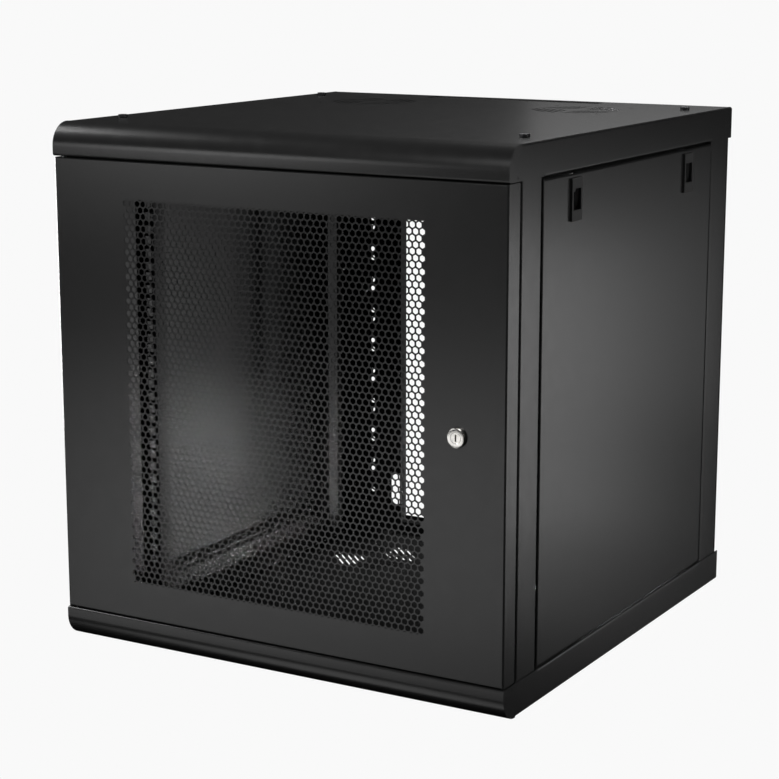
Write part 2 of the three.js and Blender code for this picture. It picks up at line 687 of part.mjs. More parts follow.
// A pan, open at the back, with a lip folded in along its side walls.
function door() {
  const section = foldedSheet([
    [-HALF_WIDTH + DOOR_LIP, FRONT + DOOR_DEPTH],
    [-HALF_WIDTH, FRONT + DOOR_DEPTH],
    [-HALF_WIDTH, FRONT],
    [HALF_WIDTH, FRONT],
    [HALF_WIDTH, FRONT + DOOR_DEPTH],
    [HALF_WIDTH - DOOR_LIP, FRONT + DOOR_DEPTH],
  ], SHEET, DOOR_BEND, -1);
  const wallInset = SHEET / 2;
  let pan = extruded(section, 'z', DOOR_BOTTOM, DOOR_TOP);
  for (const z of [DOOR_BOTTOM, DOOR_TOP - SHEET]) {
    pan = join(pan, block(
      [-HALF_WIDTH + wallInset, HALF_WIDTH - wallInset],
      [FRONT + wallInset, FRONT + DOOR_DEPTH - wallInset],
      [z, z + SHEET],
    ));
  }
  const bracket = block(
    [-HALF_WIDTH + wallInset, HINGE_X + HINGE_BRACKET.past],
    [FRONT + wallInset, HINGE_Y + HINGE_BRACKET.behind],
    [HINGE_BRACKET_BOTTOM, HINGE_BRACKET_BOTTOM + HINGE_BRACKET.thickness],
  );
  const fieldRecess = block(
    [-FIELD.width / 2, FIELD.width / 2],
    [FRONT + FIELD_SHEET, FRONT + SHEET + CLEAR],
    [FIELD.bottom, FIELD.top],
  );
  const lockHole = LOCK.thread + FIT * 2;
  return toGeometry(cut(
    join(pan, bracket),
    fieldRecess,
    bar(PIN_HOLE, 'z', [HINGE_X, HINGE_Y], HINGE_BRACKET_BOTTOM - CLEAR, DOOR_TOP + CLEAR),
    bar(PIN_HOLE, 'z', [HINGE_X, HINGE_Y], DOOR_BOTTOM - CLEAR, DOOR_BOTTOM + SHEET + CLEAR),
    bar(lockHole, 'y', [LOCK_X, LOCK_Z], FRONT - CLEAR, FRONT + SHEET + CLEAR, LOCK_SIDES),
  ));
}

// The retractable upper pin, with a collar that stops it under the door's top wall and a
// finger tip at its lower end.
function upperHingePin() {
  const top = HEIGHT - SHELL_DEPTH + HINGE_PIN_REACH;
  const bottom = HINGE_BRACKET_BOTTOM - PIN_TIP.drop;
  const collarTop = DOOR_TOP - SHEET - HINGE_COLLAR.gap;
  const tipHalf = PIN_TIP.width / 2;
  return toGeometry(join(
    bar(HINGE_PIN_DIAMETER, 'z', [0, 0], bottom, top),
    bar(HINGE_COLLAR.diameter, 'z', [0, 0], collarTop - HINGE_COLLAR.height, collarTop),
    block([-tipHalf, PIN_TIP.length], [-tipHalf, tipHalf], [bottom, bottom + PIN_TIP.width]),
  ));
}

// A coil around the upper pin, between its bracket and its collar.
class Helix extends THREE.Curve {
  constructor(radius, from, to, turns) {
    super();
    Object.assign(this, { radius, from, to, turns });
  }

  getPoint(t, target = new THREE.Vector3()) {
    const angle = t * this.turns * FULL_TURN;
    const z = THREE.MathUtils.lerp(this.from, this.to, t);
    return target.set(this.radius * Math.cos(angle), this.radius * Math.sin(angle), z);
  }
}

function hingeSpring() {
  const wire = SPRING.wire / 2;
  const from = HINGE_BRACKET_BOTTOM + HINGE_BRACKET.thickness + wire + FIT;
  const to = DOOR_TOP - SHEET - HINGE_COLLAR.gap - HINGE_COLLAR.height - wire - FIT;
  const section = new THREE.Shape();
  section.absarc(0, 0, wire, 0, FULL_TURN);
  const coil = new THREE.ExtrudeGeometry(section, {
    extrudePath: new Helix(SPRING.radius, from, to, SPRING.turns),
    steps: SPRING.turns * SPRING.stepsPerTurn,
    curveSegments: 3,
    bevelEnabled: false,
  });
  return toGeometry(solid(coil));
}

// The lower pin, a headed stud in the tray's nose flange.
function lowerHingePin() {
  const headTop = SHELL_DEPTH - SHEET - FIT;
  const headBottom = headTop - HINGE_COLLAR.stud;
  const head = bar(HINGE_COLLAR.diameter, 'z', [0, 0], headBottom, headTop);
  const stem = bar(HINGE_PIN_DIAMETER, 'z', [0, 0], headBottom, DOOR_BOTTOM + LOWER_PIN_REACH);
  return toGeometry(join(head, stem));
}

// ---------------------------------------------------------------- cam lock

// The lock's parts turn about an axis along y at their own origin; y = 0 is the door's face.
function lockHousing() {
  return toGeometry(cut(
    join(
      bar(LOCK.face, 'y', [0, 0], -LOCK.proud, -FIT, LOCK_SIDES),
      bar(LOCK.thread, 'y', [0, 0], -LOCK.proud / 2, LOCK.bodyEnd, LOCK_SIDES),
    ),
    bar(LOCK.bore, 'y', [0, 0], -LOCK.proud - CLEAR, LOCK.bodyEnd + CLEAR, LOCK_SIDES),
  ));
}

function lockNut() {
  const from = SHEET + FIT;
  return toGeometry(cut(
    bar(LOCK_NUT.corners, 'y', [0, 0], from, from + LOCK_NUT.height, 6),
    bar(LOCK.thread + FIT * 2, 'y', [0, 0], 0, from + LOCK_NUT.height + CLEAR, LOCK_SIDES),
  ));
}

// The barrel, with an upright key slot in its face and a square end for the cam.
function lockCylinder() {
  const camFront = CAM.face - FRONT;
  const half = CAM.square / 2;
  const slotHalfWidth = KEY_SLOT.width / 2;
  const slotHalfHeight = KEY_SLOT.height / 2;
  return toGeometry(cut(
    join(
      bar(LOCK.barrel, 'y', [0, 0], -LOCK.proud + LOCK.recess, camFront - CLEAR, LOCK_SIDES),
      block([-half, half], [LOCK.bodyEnd, camFront + CAM.thickness], [-half, half]),
    ),
    block(
      [-slotHalfWidth, slotHalfWidth],
      [-LOCK.proud - CLEAR, KEY_SLOT.back],
      [-slotHalfHeight, slotHalfHeight],
    ),
  ));
}

// The tongue hangs straight down while the lock is open.
function lockCam() {
  const from = CAM.face - FRONT;
  const to = from + CAM.thickness;
  const half = CAM.width / 2;
  const square = CAM.square / 2 + FIT;
  return toGeometry(cut(
    join(
      bar(CAM.width, 'y', [0, 0], from, to),
      block([-half, half], [from, to], [-CAM.length + half, 0]),
      bar(CAM.width, 'y', [0, -CAM.length + half], from, to),
    ),
    block([-square, square], [from - CLEAR, to + CLEAR], [-square, square]),
  ));
}

function camScrew() {
  const from = CAM.face - FRONT + CAM.thickness + FIT;
  return toGeometry(bar(CAM_SCREW.head, 'y', [0, 0], from, from + CAM_SCREW.height));
}

// ---------------------------------------------------------------- bolts

// A hexagon bolt with its head above z = 0 and its shank below.
function hexBolt(length) {
  const acrossCorners = BOLT.acrossFlats / Math.cos(Math.PI / 6);
  return toGeometry(join(
    bar(acrossCorners, 'z', [0, 0], FIT, FIT + BOLT.head, 6),
    bar(BOLT.shank, 'z', [0, 0], -length, BOLT.head / 2, SMALL_SIDES),
  ));
}

// ---------------------------------------------------------------- assembly

const tray = bottomTray();
addPart('bottom_tray', tray, PANEL_COAT);
addPart('top_cover', topCover(), PANEL_COAT, [0, 0, HEIGHT]);

const plate = cableCover();
addPart('cable_cover_bottom', plate, FRAME_COAT, [0, 0, SHEET + FIT]);
addPart('cable_cover_top', plate, FRAME_COAT, [0, 0, HEIGHT - SHEET * 2 - FIT]);
addPart('rear_panel', rearPanel(), PANEL_COAT);

const frontPost = reflected(post(FRONT_POST_DEPTH), 'y');
const rearPost = post(REAR_POST_DEPTH);
const lowerBeam = beam(SEAT_DEPTH + SHEET + FIT);
const upperBeam = beam(SHEET + FIT);
const rail = rackRail();
const panel = sidePanel();
const housing = latchHousing();
const slider = latchSlider();
const bolt = hexBolt(BOLT.length);
const shortBolt = hexBolt(BOLT.shortLength);

for (const [name, side] of [['left', -1], ['right', 1]]) {
  const handed = (geometry) => (side > 0 ? geometry : reflected(geometry, 'x'));

  const postX = side * (HALF_WIDTH - FIT);
  addPart(`post_front_${name}`, handed(frontPost), FRAME_COAT, [postX, FRONT_POST_BACK, 0]);
  addPart(`post_rear_${name}`, handed(rearPost), FRAME_COAT, [postX, REAR_POST_FACE, 0]);
  addPart(`beam_lower_${name}`, handed(lowerBeam), FRAME_COAT);
  addPart(`beam_upper_${name}`, reflected(handed(upperBeam), 'z'), FRAME_COAT, [0, 0, HEIGHT]);

  for (const [place, face] of [['front', FRONT_RAIL_FACE], ['rear', REAR_RAIL_FACE]]) {
    addPart(`rack_rail_${place}_${name}`, handed(rail), RAIL_COAT, [0, face, 0]);
    const x = side * BEAM_BOLT_X;
    const y = face + RAIL_DEPTH / 2;
    const lift = BEAM_TOP + FIT + RAIL_SHEET;
    addPart(`rail_bolt_lower_${place}_${name}`, shortBolt, ZINC, [x, y, lift]);
    addPart(`rail_bolt_upper_${place}_${name}`, reflected(shortBolt, 'z'), ZINC, [x, y, HEIGHT - lift]);
  }

  addPart(`side_panel_${name}`, handed(panel), PANEL_COAT, [side * HALF_WIDTH, 0, 0]);
  for (const [place, y] of Object.entries(latchPlaces())) {
    addPart(`latch_housing_${place}_${name}`, handed(housing), LATCH_PLASTIC, [side * HALF_WIDTH, y, 0]);
    addPart(`latch_slider_${place}_${name}`, handed(slider), LATCH_PLASTIC, [side * HALF_WIDTH, y, 0]);
  }
}

for (const [place, x, y] of boltPlaces()) {
  addPart(`cover_bolt_${place}`, bolt, FASTENER_BLACK, [x, y, HEIGHT]);
  addPart(`tray_bolt_${place}`, reflected(bolt, 'z'), FASTENER_BLACK, [x, y, SEAT_DEPTH]);
}

addPart('door', door(), PANEL_COAT);
addPart('hinge_pin_upper', upperHingePin(), ZINC, [HINGE_X, HINGE_Y, 0]);
addPart('hinge_spring', hingeSpring(), ZINC, [HINGE_X, HINGE_Y, 0]);
addPart('hinge_pin_lower', lowerHingePin(), ZINC, [HINGE_X, HINGE_Y, 0]);

const lockPlace = [LOCK_X, FRONT, LOCK_Z];
addPart('lock_housing', lockHousing(), NICKEL, lockPlace);
addPart('lock_cylinder', lockCylinder(), NICKEL, lockPlace);
addPart('lock_nut', lockNut(), ZINC, lockPlace);
addPart('lock_cam', lockCam(), ZINC, lockPlace);
addPart('cam_screw', camScrew(), ZINC, lockPlace);

export default parts;
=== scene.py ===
"""The looks of a wall-mount 19-inch network cabinet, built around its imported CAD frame.

Lengths are millimetres until a mesh is made. +X is right, +Y is back and +Z is up, as in the
frame, and the origin is the centre of the underside.
"""

import math

import bmesh
import bpy
from mathutils import Matrix, Vector
from mathutils.geometry import delaunay_2d_cdt


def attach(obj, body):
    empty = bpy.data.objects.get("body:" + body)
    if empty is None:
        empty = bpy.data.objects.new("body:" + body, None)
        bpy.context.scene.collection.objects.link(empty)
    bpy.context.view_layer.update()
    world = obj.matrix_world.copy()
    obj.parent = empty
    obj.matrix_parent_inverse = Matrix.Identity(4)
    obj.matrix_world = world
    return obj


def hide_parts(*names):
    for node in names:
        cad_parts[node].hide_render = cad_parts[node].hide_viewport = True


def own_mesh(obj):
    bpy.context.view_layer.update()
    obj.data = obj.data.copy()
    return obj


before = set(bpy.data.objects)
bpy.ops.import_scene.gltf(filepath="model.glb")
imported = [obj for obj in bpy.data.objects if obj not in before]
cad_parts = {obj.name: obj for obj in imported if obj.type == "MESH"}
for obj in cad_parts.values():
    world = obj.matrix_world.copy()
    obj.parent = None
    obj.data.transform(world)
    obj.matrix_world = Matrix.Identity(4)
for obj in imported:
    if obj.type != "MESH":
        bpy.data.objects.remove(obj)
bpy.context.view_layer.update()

# ---------------------------------------------------------------- driving dimensions

MM = 0.001
HALF_WIDTH = 300
FRONT = -315
REAR = 315
HEIGHT = 633
SHEET = 1.2
FIT = 0.2

# Cover and tray
SHELL_HALF_WIDTH = HALF_WIDTH + SHEET
SHELL_DEPTH = 39.2
NOSE_FRONT = FRONT - 1.6
NOSE_RADIUS = 28
NOSE_RETURN = 20
SHELL_BEND = 3
RETURN_BEND = 2
REAR_FLANGE = 22
SIDE_RETURN = 12
KERF = 1.2                   # width of the relief cuts where two bends meet
RELIEF_DEPTH = 4
BOLT_X = 270
BOLT_Y = (FRONT + 95, REAR - 85.2)
BOLT_HOLE_RADIUS = 3.5
SEAT_RADIUS = 13
SEAT_DEPTH = 5
SEAT_EASE = 0.8              # how far the pressed seat's two edges are rounded
SEAT_SLOPE = 0.4
CABLE_ENTRY = {"half_width": 128, "depth": 30, "from_rear": 14}
FLANGE_MARK = {"y": FRONT + 18, "z": 35, "width": 1.7, "height": 3.6}

# Fan grilles
GRILLE_X = 148.5
GRILLE_Y = FRONT + 485
GRILLE_RADIUS = 58
GRILLE_FIRST_SLOT = 19
GRILLE_SLOT_PITCH = 8
GRILLE_SLOT_WIDTH = 3.4
GRILLE_SLOT_COUNT = 5
GRILLE_SPOKE = 8
FAN_SCREW_REACH = 52.5
FAN_SCREW_RADIUS = 2.25

# Side panels
PANEL = {"front": FRONT + 81.8, "rear": 250.5, "bottom": 41, "top": 590, "depth": 11, "bend": 2}
LATCH_OFFSET = 161.8
LATCH_OPENING = {"half": 11, "bottom": 539.5, "top": 583}
TONGUE = {"half": 8.5, "room": 1.5, "inset": 5.3, "notch": 7.5, "slot": 5}
HOOK = {"half": 11, "drop": 6, "inset": 4, "slot_inset": 4.7, "slot": 8}
PAN_KERF = 0.3               # room between the end walls of a pan and its side walls

# Rear panel
REAR_PANEL = {"back": REAR - 6.5, "sheet": 1.5, "bend": 2, "lip": 17, "gap": 1.4}
REAR_OPENING = {"half": 177, "bottom": 18, "top": HEIGHT - 18}
CABLE_SLOT = {"x": 192, "z": 61, "width": 20, "height": 46}
WALL_HOLE = {"x": 252, "z": HEIGHT - 36, "radius": 5}
RACK_UNIT = 44.45
RACK_UNITS = 12
RACK_HOLE_X = 232.55
SMALL_HOLE = {"radius": 3.5, "heights": (6.35, 38.1)}

# Door
DOOR = {"bottom": 40.7, "top": 592.3, "depth": 28, "lip": 9, "bend": 1.8}
HEX = {"pitch": 8.3, "row": 7.19, "across_flats": 6.7, "columns": 48, "rows": 64, "corner": 0.9}
HEX_FIRST = {"x": -197.4, "z": 543.7}
HEX_TIP = {"half_width": 2.3, "height": 1.35}
HINGE = (-HALF_WIDTH + 8, FRONT + 8)
PIN_HOLE_RADIUS = 3.4
BRACKET = {"bottom": 558.3, "sheet": 2, "half": 9, "back": FRONT + 17}

# Cam lock
LOCK = (241, HEIGHT / 2)
LOCK_EDGE = 0.15             # tiny chamfers that hide the joint between barrel and housing
LOCK_BODY = {"face": 11.5, "rim": 1.5, "bore": 6.3, "thread": 8, "proud": 4, "end": 31}
LOCK_PLUG = {"radius": 6.15, "recess": 0.1, "end": 32.4, "square": 3.5, "tail": 35.4}
TAIL_ROOT = 1                # how far the square end reaches into the barrel
THREAD_DEPTH = 0.5
THREAD_PITCH = 1
KEY_SLOT = {"half_width": 1, "half_height": 4, "depth": 8}

# Hinge spring
SPRING = {"radius": 4.4, "wire": 0.5, "bottom": 560.3, "top": 587.1, "turns": 6.5}
SPRING_CLOSED_TURNS = 0.9    # at each end, where the coils touch

# How many steps make a curve
NOSE_STEPS = 20
BEND_STEPS = 6
REAR_LIP_STEPS = 5
DOOR_LIP_STEPS = 4
LOCK_SIDES = 64
COIL_STEPS = 36
WIRE_SIDES = 10

# How near two points are when they count as one, in millimetres
OUTLINE_JOIN = 1e-6
SKIN_JOIN = 1e-3

# ---------------------------------------------------------------- outlines


def rectangle(u, v):
    """The four corners between two pairs of limits."""
    return [(u[0], v[0]), (u[1], v[0]), (u[1], v[1]), (u[0], v[1])]


def arc(centre, radius, start, end, steps):
    """Points along an arc, both ends included; the angles are degrees."""
    points = []
    for step in range(steps + 1):
        angle = math.radians(start + (end - start) * step / steps)
        points.append((centre[0] + radius * math.cos(angle), centre[1] + radius * math.sin(angle)))
    return points


def circle(centre, radius, sides=32):
    return arc(centre, radius, 0, 360, sides)[:-1]


def stadium(centre, length, width, direction, steps=6):
    """A slot with round ends, along a direction in degrees."""
    reach = (length - width) / 2
    along = Vector((math.cos(math.radians(direction)), math.sin(math.radians(direction)))) * reach
    middle = Vector(centre)
    head = arc(middle + along, width / 2, direction - 90, direction + 90, steps)
    tail = arc(middle - along, width / 2, direction + 90, direction + 270, steps)
    return head + tail


def contains(outline, point):
    """Whether a point lies inside an outline, counting the sides to its right."""
    inside = False
    for (u1, v1), (u2, v2) in zip(outline, outline[1:] + outline[:1]):
        if (v1 > point[1]) != (v2 > point[1]):
            if point[0] < u1 + (u2 - u1) * (point[1] - v1) / (v2 - v1):
                inside = not inside
    return inside


def triangulated(loops):
    """The points of some loops, and triangles that fill the first one less the others."""
    points, edges, owner = [], [], []
    for index, loop in enumerate(loops):
        first = len(points)
        points += [Vector(point) for point in loop]
        edges += [(first + i, first + (i + 1) % len(loop)) for i in range(len(loop))]
        owner += [index] * len(loop)
    filled = delaunay_2d_cdt(points, edges, [], 0, OUTLINE_JOIN, False)
    triangles = []
    for triangle in filled[2]:
        touched = {owner[i] for i in triangle}
        if len(touched) == 1:
            index = touched.pop()
            centre = sum((points[i] for i in triangle), Vector((0, 0))) / 3
            if contains(loops[index], centre) != (index == 0):
                continue
        triangles.append(triangle)
    return points, triangles


# ---------------------------------------------------------------- skins


def on_y(y):
    return lambda x, z: (x, y, z)


def on_z(z):
    return lambda x, y: (x, y, z)


class Skin:
    """A surface gathered plate by plate and bend by bend. It becomes a folded sheet when it is
    thickened, or a solid when its pieces close it."""

    def __init__(self):
        self.mesh = bmesh.new()

    def plate(self, place, outline, holes=()):
        """A flat face with holes. `place` puts a point of the outline in space."""
        points, triangles = triangulated([list(outline), *[list(hole) for hole in holes]])
        corners = [self.mesh.verts.new(place(*point)) for point in points]
        for triangle in triangles:
            self.mesh.faces.new([corners[i] for i in triangle])

    def strip(self, first, second, closed=False):
        """Faces between two lines of points, which are rings when the strip is closed."""
        near = [self.mesh.verts.new(point) for point in first]
        far = [self.mesh.verts.new(point) for point in second]
        count = len(near) if closed else len(near) - 1
        for i in range(count):
            j = (i + 1) % len(near)
            self.mesh.faces.new((near[i], near[j], far[j], far[i]))

    def bend(self, place, section, start, end):
        """A section carried along a line. `place` takes the distance along it, then the
        section's two coordinates."""
        near = [place(start, *point) for point in section]
        far = [place(end, *point) for point in section]
        self.strip(near, far)

    def rings(self, rings):
        """A tube through a row of rings."""
        for ring, following in zip(rings, rings[1:]):
            self.strip(ring, following, closed=True)

    def block(self, x, y, z):
        """A closed box, for a tab or a bracket that is welded on."""
        self.plate(on_z(z[0]), rectangle(x, y))
        self.plate(on_z(z[1]), rectangle(x, y))
        self.rings([[(*point, height) for point in rectangle(x, y)] for height in z])

    def object(self, name):
        """The skin as an object, welded, in metres and with its faces turned the same way."""
        bmesh.ops.remove_doubles(self.mesh, verts=self.mesh.verts, dist=SKIN_JOIN)
        bmesh.ops.recalc_face_normals(self.mesh, faces=self.mesh.faces)
        self.mesh.transform(Matrix.Scale(MM, 4))
        data = bpy.data.meshes.new(name)
        self.mesh.to_mesh(data)
        self.mesh.free()
        made = bpy.data.objects.new(name, data)
        bpy.context.scene.collection.objects.link(made)
        return made


def thickened(skin, name, outward, thickness=SHEET):
    """The skin as a sheet whose first face looks outward and whose thickness lies behind it."""
    made = skin.object(name)
    first = made.data.polygons[0]
    if first.normal.dot(Vector(outward)) < 0:
        made.data.flip_normals()
    solidify = made.modifiers.new("thickness", "SOLIDIFY")
    solidify.thickness = thickness * MM
    solidify.offset = -1
    solidify.use_even_offset = True
    graph = bpy.context.evaluated_depsgraph_get()
    thick = bpy.data.meshes.new_from_object(made.evaluated_get(graph), depsgraph=graph)
    made.modifiers.clear()
    thin = made.data
    made.data = thick
    thick.name = name
    bpy.data.meshes.remove(thin)
    return made


def joined(made, skin):
    """Adds a closed skin to an object's mesh."""
    extra = skin.object("extra")
    mesh = bmesh.new()
    mesh.from_mesh(made.data)
    mesh.from_mesh(extra.data)
    mesh.to_mesh(made.data)
    mesh.free()
    bpy.data.objects.remove(extra)


SMOOTH_ANGLE = math.radians(33)


def smoothed(made):
    """Smooth bends and flat plates, with every sharper edge kept crisp."""
    made.data.shade_smooth()
    made.data.set_sharp_from_angle(angle=SMOOTH_ANGLE)
    weighted = made.modifiers.new("flat plates", "WEIGHTED_NORMAL")
    weighted.keep_sharp = True
    return made


# ---------------------------------------------------------------- materials

GLOSS_SPREAD = 0.012         # how much a coat's roughness varies either way
PEEL_DEPTH = 0.006           # the depths of fine relief, in millimetres
GRAIN_DEPTH = 0.03
STREAK_DEPTH = 0.006
NOISE_RANGE = (0.3, 0.7)     # a noise texture seldom leaves it


def node_material(slot):
    """A node material that remembers which material slot it dresses."""
    material = bpy.data.materials.new(f"look_{slot}")
    material["slot"] = slot
    material.use_nodes = True
    return material, material.node_tree.nodes, material.node_tree.links


def noise(nodes, links, scale, detail, stretch=(1, 1, 1)):
    """A noise texture in object space, with a scale in features per metre."""
    place = nodes.new("ShaderNodeTexCoord")
    mapping = nodes.new("ShaderNodeMapping")
    mapping.inputs["Scale"].default_value = stretch
    texture = nodes.new("ShaderNodeTexNoise")
    texture.inputs["Scale"].default_value = scale
    texture.inputs["Detail"].default_value = detail
    links.new(place.outputs["Object"], mapping.inputs["Vector"])
    links.new(mapping.outputs["Vector"], texture.inputs["Vector"])
    return texture.outputs["Fac"]


def spread(nodes, links, value, low, high):
    """A noise value mapped to lie between two numbers."""
    mapped = nodes.new("ShaderNodeMapRange")
    mapped.inputs["From Min"].default_value = NOISE_RANGE[0]
    mapped.inputs["From Max"].default_value = NOISE_RANGE[1]
    mapped.inputs["To Min"].default_value = low
    mapped.inputs["To Max"].default_value = high
    links.new(value, mapped.inputs["Value"])
    return mapped.outputs["Result"]


def color_between(nodes, links, value, dark, light):
    """A colour that goes from dark to light as a value goes from 0 to 1."""
    mixed = nodes.new("ShaderNodeMix")
    mixed.data_type = "RGBA"
    mixed.inputs["A"].default_value = (*dark, 1)
    mixed.inputs["B"].default_value = (*light, 1)
    links.new(value, mixed.inputs["Factor"])
    return mixed.outputs["Result"]


def bumped(nodes, links, height, distance, shader):
    """A fine relief for a shader, its distance in millimetres."""
    bump = nodes.new("ShaderNodeBump")
    bump.inputs["Strength"].default_value = 1
    bump.inputs["Distance"].default_value = distance * MM
    links.new(height, bump.inputs["Height"])
    links.new(bump.outputs["Normal"], shader.inputs["Normal"])


def powder_coat(name, grey, roughness):
    """Satin black powder coat: a fine orange peel, cloudy gloss and a trace of dust."""
    material, nodes, links = node_material(name)
    shader = nodes["Principled BSDF"]
    clouds = spread(nodes, links, noise(nodes, links, scale=9, detail=3), 0, 1)
    dark = (grey * 0.95,) * 3
    light = (grey * 1.06,) * 3
    links.new(color_between(nodes, links, clouds, dark, light), shader.inputs["Base Color"])
    blotches = noise(nodes, links, scale=60, detail=3)
    gloss = spread(nodes, links, blotches, roughness - GLOSS_SPREAD, roughness + GLOSS_SPREAD)
    links.new(gloss, shader.inputs["Roughness"])
    bumped(nodes, links, noise(nodes, links, scale=700, detail=2), PEEL_DEPTH, shader)
    return material


def moulded_plastic(name, grey):
    """Black nylon with a fine spark-eroded grain."""
    material, nodes, links = node_material(name)
    shader = nodes["Principled BSDF"]
    clouds = spread(nodes, links, noise(nodes, links, scale=60, detail=3), 0, 1)
    dark = (grey * 0.85,) * 3
    light = (grey * 1.2,) * 3
    links.new(color_between(nodes, links, clouds, dark, light), shader.inputs["Base Color"])
    grain = noise(nodes, links, scale=1800, detail=3)
    links.new(spread(nodes, links, grain, 0.48, 0.62), shader.inputs["Roughness"])
    bumped(nodes, links, grain, GRAIN_DEPTH, shader)
    return material


def metal(name, color, roughness, stretch=(1, 1, 1)):
    """Plated metal, its gloss broken by fine streaks or blotches."""
    material, nodes, links = node_material(name)
    shader = nodes["Principled BSDF"]
    shader.inputs["Metallic"].default_value = 1
    clouds = spread(nodes, links, noise(nodes, links, scale=150, detail=4), 0, 1)
    dark = tuple(value * 0.82 for value in color)
    links.new(color_between(nodes, links, clouds, dark, color), shader.inputs["Base Color"])
    streaks = noise(nodes, links, scale=900, detail=3, stretch=stretch)
    gloss = spread(nodes, links, streaks, roughness * 0.8, roughness * 1.25)
    links.new(gloss, shader.inputs["Roughness"])
    bumped(nodes, links, streaks, STREAK_DEPTH, shader)
    return material


PANEL_COAT = powder_coat("panel_coat", grey=0.012, roughness=0.25)
FRAME_COAT = powder_coat("frame_coat", grey=0.011, roughness=0.255)
RAIL_COAT = powder_coat("rail_coat", grey=0.009, roughness=0.255)
LATCH_PLASTIC = moulded_plastic("latch_plastic", grey=0.008)
FASTENER_BLACK = metal("black_fastener", (0.05, 0.05, 0.052), roughness=0.4)
ZINC = metal("zinc_steel", (0.5, 0.51, 0.52), roughness=0.34)
NICKEL = metal("lock_nickel", (0.78, 0.76, 0.73), roughness=0.2, stretch=(0.2, 1, 6))


def dressed(made, body, material, *stands_for):
    """Finishes a new piece: its body, its material and the CAD nodes it stands for."""
    made.data.materials.clear()
    made.data.materials.append(material)
    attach(made, body)
    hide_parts(*stands_for)


# ---------------------------------------------------------------- cover and tray


def grille_holes():
    """The slots and screw holes of both fan grilles: in each quadrant, slots across the
    diagonal, inside the fan's circle and clear of a cross of two spokes."""
    holes = []
    for x in (-GRILLE_X, GRILLE_X):
        for quadrant in range(4):
            direction = 45 + 90 * quadrant
            out = Vector((math.cos(math.radians(direction)), math.sin(math.radians(direction))))
            for i in range(GRILLE_SLOT_COUNT):
                distance = GRILLE_FIRST_SLOT + i * GRILLE_SLOT_PITCH
                outer = distance + GRILLE_SLOT_WIDTH / 2
                to_circle = math.sqrt(GRILLE_RADIUS**2 - outer**2)
                to_spoke = distance - GRILLE_SLOT_WIDTH / 2 - GRILLE_SPOKE / math.sqrt(2)
                half = min(to_circle, to_spoke)
                middle = Vector((x, GRILLE_Y)) + out * distance
                holes.append(stadium(middle, half * 2, GRILLE_SLOT_WIDTH, direction + 90))
        for across in (-FAN_SCREW_REACH, FAN_SCREW_REACH):
            for along in (-FAN_SCREW_REACH, FAN_SCREW_REACH):
                holes.append(circle((x + across, GRILLE_Y + along), FAN_SCREW_RADIUS, sides=16))
    return holes


def bolt_places():
    return [(x, y) for x in (-BOLT_X, BOLT_X) for y in BOLT_Y]


def latch_places():
    middle = (PANEL["front"] + PANEL["rear"]) / 2
    return {"front": middle - LATCH_OFFSET, "rear": middle + LATCH_OFFSET}


def shell_plate(skin, lift, seats):
    """The flat plate of a shell, with its grilles, cable entry and bolt holes."""
    side = SHELL_HALF_WIDTH - SHELL_BEND
    nose = NOSE_FRONT + NOSE_RADIUS
    bend_start = nose + KERF * 2
    rear = REAR - SHELL_BEND
    inner = side - KERF
    half_outline = [
        (inner, rear),
        (inner, REAR),
        (side, REAR),
        (side, bend_start),
        (side + KERF, bend_start),
        (side + KERF, bend_start - KERF),
        (HALF_WIDTH, bend_start - KERF),
        (HALF_WIDTH, nose),
    ]
    outline = half_outline + [(-x, y) for x, y in reversed(half_outline)]
    entry = rectangle(
        (-CABLE_ENTRY["half_width"], CABLE_ENTRY["half_width"]),
        (REAR - CABLE_ENTRY["from_rear"] - CABLE_ENTRY["depth"], REAR - CABLE_ENTRY["from_rear"]),
    )
    radius = SEAT_RADIUS + SHEET if seats else BOLT_HOLE_RADIUS
    bolt_holes = [circle(place, radius) for place in bolt_places()]
    skin.plate(lambda x, y: lift(x, y, 0), outline, [*grille_holes(), entry, *bolt_holes])
    if seats:
        profile = (
            (radius, 0),
            (SEAT_RADIUS + SEAT_SLOPE, SEAT_EASE),
            (SEAT_RADIUS, SEAT_DEPTH - SEAT_EASE),
            (SEAT_RADIUS - SEAT_EASE, SEAT_DEPTH),
            (BOLT_HOLE_RADIUS, SEAT_DEPTH),
        )
        for place in bolt_places():
            skin.rings([[lift(x, y, z) for x, y in circle(place, r)] for r, z in profile])


def shell_ends(skin, lift):
    """The rounded nose with its return, and the flange along the rear edge."""
    nose_section = [
        *arc((NOSE_FRONT + NOSE_RADIUS, NOSE_RADIUS), NOSE_RADIUS, 270, 180, NOSE_STEPS),
        *arc((NOSE_FRONT + SHELL_BEND, SHELL_DEPTH - SHELL_BEND), SHELL_BEND, 180, 90, BEND_STEPS),
    ]
    skin.bend(lift, nose_section, -HALF_WIDTH, HALF_WIDTH)
    skin.plate(
        lambda x, y: lift(x, y, SHELL_DEPTH),
        rectangle((-HALF_WIDTH, HALF_WIDTH), (NOSE_FRONT + SHELL_BEND, NOSE_FRONT + NOSE_RETURN)),
        [circle(HINGE, PIN_HOLE_RADIUS, sides=24)],
    )
    rear_bend = arc((REAR - SHELL_BEND, SHELL_BEND), SHELL_BEND, 270, 360, BEND_STEPS)
    inner = SHELL_HALF_WIDTH - SHELL_BEND - KERF
    skin.bend(lift, [*rear_bend, (REAR, REAR_FLANGE)], -inner, inner)


